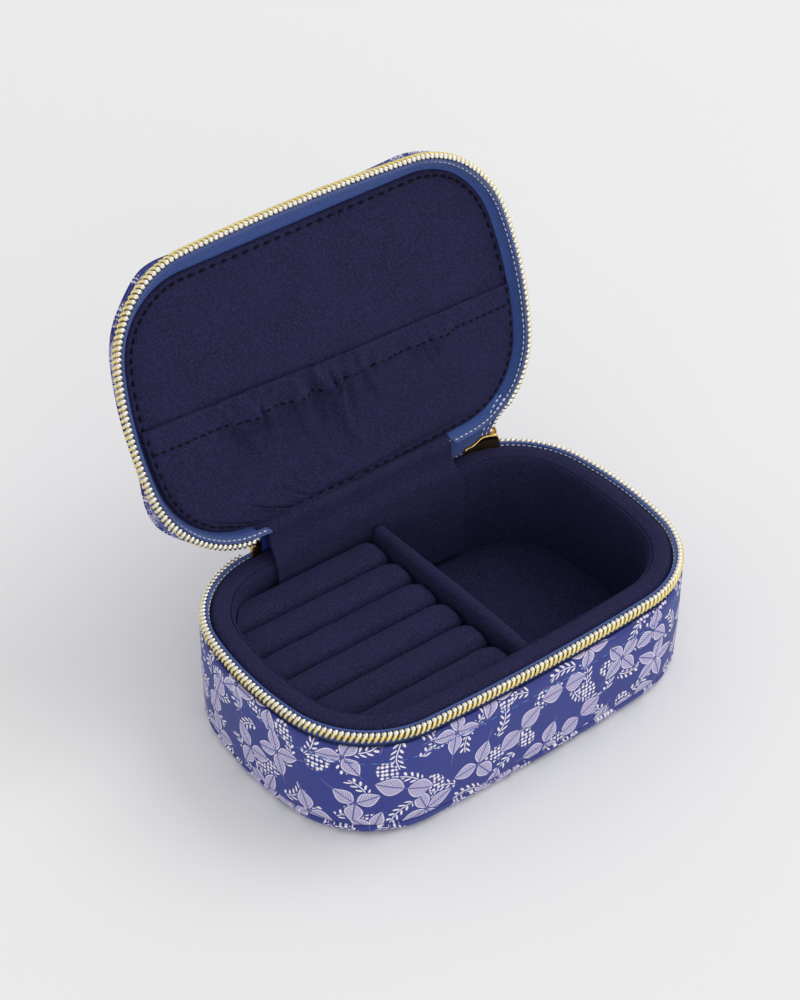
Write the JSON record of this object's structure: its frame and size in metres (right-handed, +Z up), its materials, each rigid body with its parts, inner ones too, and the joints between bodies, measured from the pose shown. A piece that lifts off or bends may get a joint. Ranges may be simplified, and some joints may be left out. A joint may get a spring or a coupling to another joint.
{
  "type": "jewellery case",
  "caption": "Small zipped leather jewellery case standing open: printed shell, suede tray with ring rolls, a divider and an open well, lid lined with a gathered pocket.",
  "frame": {"origin": "middle of the underside, on the surface that the case stands on", "axes": "+X along the long side, +Y from the front to the hinge at the back, +Z up"},
  "size_m": [0.1216, 0.1083, 0.1141],
  "materials": {
    "printed_leather": "smooth printed leather, satin",
    "plain_leather": "smooth leather, satin",
    "suede": "brushed microsuede, matt",
    "greyboard": "pressed paper board",
    "foam": "soft foam",
    "zip_tape": "woven twill tape",
    "zip_coil": "metallised coil, pale gold",
    "brass": "polished pale gold",
    "elastic": "braided elastic"
  },
  "bodies": {
    "base": {"base_bottom_panel": "printed_leather", "base_side_band": "printed_leather", "hinge_strip": "plain_leather", "base_wall_board": "greyboard", "base_floor_board": "greyboard", "tray_wall": "suede", "tray_floor": "suede", "divider": "suede", "hinge_gusset": "suede", "ring_pad_block": "foam", "base_zip_tape": "zip_tape", "base_zip_coil": "zip_coil", "zip_end_stop": "brass", "ring_roll_1": "suede", "ring_roll_2": "suede", "ring_roll_3": "suede", "ring_roll_4": "suede", "ring_roll_5": "suede", "ring_roll_6": "suede"},
    "lid": {"lid_top_panel": "printed_leather", "lid_side_band": "printed_leather", "lid_foam_pad": "foam", "lid_top_board": "greyboard", "lid_wall_board": "greyboard", "lid_zip_tape": "zip_tape", "lid_zip_coil": "zip_coil", "lid_inner_panel": "suede", "lid_pocket": "suede", "lid_pocket_elastic": "elastic"},
    "slider": {"zip_slider": "brass"},
    "pull": {"zip_pull": "brass"}
  },
  "joints": [
    {"name": "lid_hinge", "type": "hinge", "parent": "base", "child": "lid", "pos_m": [0, 0.03665, 0.0405], "axis": [-1, 0, 0], "range_deg": [-110.6, 0], "deforming": ["hinge_strip", "hinge_gusset"]},
    {"name": "slider_run", "type": "hinge", "parent": "base", "child": "slider", "pos_m": [0.03299, 0.01171, 0.0335], "axis": [0, 0, -1], "range_deg": [0, 50]},
    {"name": "pull_swing", "type": "hinge", "parent": "slider", "child": "pull", "pos_m": [0.04194, 0.04097, 0.0345], "axis": [0.9563, -0.2924, 0], "range_deg": [0, 85]}
  ]
}
